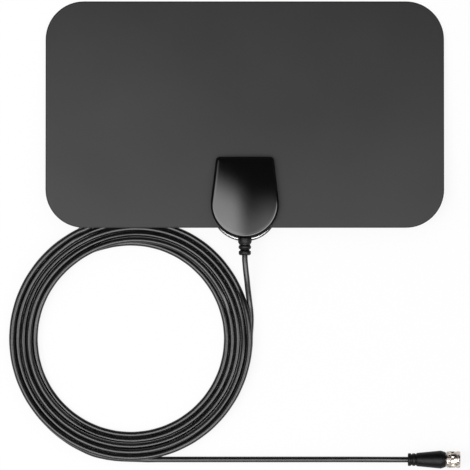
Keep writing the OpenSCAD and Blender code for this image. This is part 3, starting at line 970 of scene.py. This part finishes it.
lead_exit = on_table(*LEAD_ROUTE[0])
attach(lead, ANTENNA)
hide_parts("cable_lead", "cable_coil", "cable_loop", "cable_tail")

# %% [markdown]
# Table and light
# The picture shows the product on pure white. The table is white paper, and the camera and
# whatever mirrors it see it as white with a faint shadow. Light Path tells those rays from the
# ones that light the object, so the white never adds light to it.


# %% White paper under the antenna
def seen_directly(tree):
    """Two outputs: 1 for camera rays, and 1 for glossy and transmission rays."""
    path = tree.nodes.new("ShaderNodeLightPath")
    kinds = ("Camera", "Glossy", "Transmission")
    camera_ray, glossy, through = [Value(tree, path.outputs["Is %s Ray" % k]) for k in kinds]
    return camera_ray, glossy.most(through)


PAPER_SIZE = 8.0
WHITE_SHARE = 0.88

bpy.ops.object.select_all(action="DESELECT")
bpy.ops.mesh.primitive_plane_add(size=PAPER_SIZE, location=(0, 0, 0))
table = bpy.context.object
table.name = "table"
paper = bpy.data.materials.new("table paper")
paper.use_nodes = True
paper_tree = Tree(paper.node_tree)
paper_tree.nodes.clear()
camera_ray, mirror_ray = seen_directly(paper_tree)
matt = paper_tree.node("ShaderNodeBsdfDiffuse", {}, {"Color": (0.94, 0.94, 0.94, 1)})
white = paper_tree.node("ShaderNodeEmission", {}, {"Strength": 1.0})
share = camera_ray.most(mirror_ray) * WHITE_SHARE
seen = paper_tree.node("ShaderNodeMixShader", {}, {0: share, 1: matt, 2: white})
paper_tree.node("ShaderNodeOutputMaterial", {}, {0: seen})
table.data.materials.append(paper)
print("table is", table.name)

# %% [markdown]
# The studio
# Overhead a studio has large soft boxes and a dark ceiling: one box on the left, and one
# towards the viewer's feet that reaches low down. Lamps could stand for them, but each strand
# of the lead would then mirror them at another angle. They are drawn in the world instead, by
# direction and for mirroring rays alone, so every strand has the same narrow highlight.
# In a direction, z is 1 straight overhead and 0 at the horizon, x is positive to the right and
# y away from the viewer. A level face mirrors what is overhead, and a rim what is lower down.

# %% The directions of the studio
world = bpy.data.worlds.new("studio")
bpy.context.scene.world = world
world.use_nodes = True
sky = Tree(world.node_tree)
sky.nodes.clear()
x, y, z = sky.axes(sky.node("ShaderNodeTexCoord", output="Generated"))
# The junction box lies tilted with the sheet, so its middle mirrors a place off the zenith
y = y - 2 * sin(TILT)
rightwards, leftwards, nearwards = x, x * -1.0, y * -1.0
off_zenith = (1.0 - z).smooth(0.04, 0.1)
print("nodes for the directions:", len(sky.nodes))

# %% Soft boxes and a dark ceiling
CEILING = 0.03
LEFT_POWER = 6.3
LEFT_LOSS = 0.7
FRONT_POWER = 0.65
FRONT_EDGE = 7.2
FRONT_RIGHT = 1.35
FRONT_BASE = 0.4
LOW_POWER = 0.8

# The left box is cut off along a slanted line, and fades where only the left rim mirrors it
left = leftwards.smooth(-0.03, 0.07)
left_cut = (x * -0.51 - y + 0.07 * off_zenith).smooth(-0.089, 0.107)
left_box = left * left_cut * z.smooth(0.78, 0.92)
left_fade = 1.0 - LEFT_LOSS * off_zenith * y.smooth(0.0, 0.1)
left_power = LEFT_POWER * left_fade
# The front box is weak overhead and strong off it, where only the rolled edge mirrors it
front_box = nearwards.smooth(-0.05, 0.14) * z.smooth(0.66, 0.85)
front_power = FRONT_POWER + FRONT_EDGE * off_zenith + FRONT_RIGHT * rightwards.smooth(0.02, 0.14)
front_low = nearwards.smooth(0.05, 0.25) * (1.0 + 1.4 * z.smooth(0.4, 0.75))
horizon = 1.0 - z.smooth(0.04, 0.16)
glow = (left_box * left_power).most(front_box * front_power)
glow = glow + front_box * FRONT_BASE + front_low * LOW_POWER
ceiling = CEILING + glow + horizon
print("nodes for the ceiling:", len(sky.nodes))

# %% Give each kind of ray its world
PLAIN_LIGHT = 0.85

camera_ray, mirror_ray = seen_directly(sky)
plain = sky.node("ShaderNodeBackground", {}, {"Strength": PLAIN_LIGHT})
boxes = sky.node("ShaderNodeBackground", {}, {"Strength": ceiling})
clean = sky.node("ShaderNodeBackground", {}, {"Strength": 1.0})
lit = sky.node("ShaderNodeMixShader", {}, {0: mirror_ray, 1: plain, 2: boxes})
shown = sky.node("ShaderNodeMixShader", {}, {0: camera_ray, 1: lit, 2: clean})
sky.node("ShaderNodeOutputWorld", {}, {0: shown})
print("world nodes:", len(sky.nodes))


# %% [markdown]
# The lamp
# The world alone would light the antenna from all sides and leave no shadow. One large soft
# lamp on the left gives the faint shadow of the real picture. It isn't seen in the gloss,
# because the soft boxes are there already.

# %% One soft lamp for the shadows
def lamp(name, place, aim, size, power):
    data = bpy.data.lights.new(name, "AREA")
    data.shape = "RECTANGLE"
    data.size, data.size_y = size
    data.energy = power
    obj = bpy.data.objects.new(name, data)
    bpy.context.scene.collection.objects.link(obj)
    obj.location = place
    obj.rotation_euler = (Vector(aim) - Vector(place)).to_track_quat("-Z", "Y").to_euler()
    obj.visible_glossy = False
    print(name, "stands at", place)


lamp("left softbox", (-0.9, -0.4, 1.4), (-0.05, -0.1, 0), (1.0, 1.2), 14)
bpy.context.scene.view_settings.view_transform = "Standard"
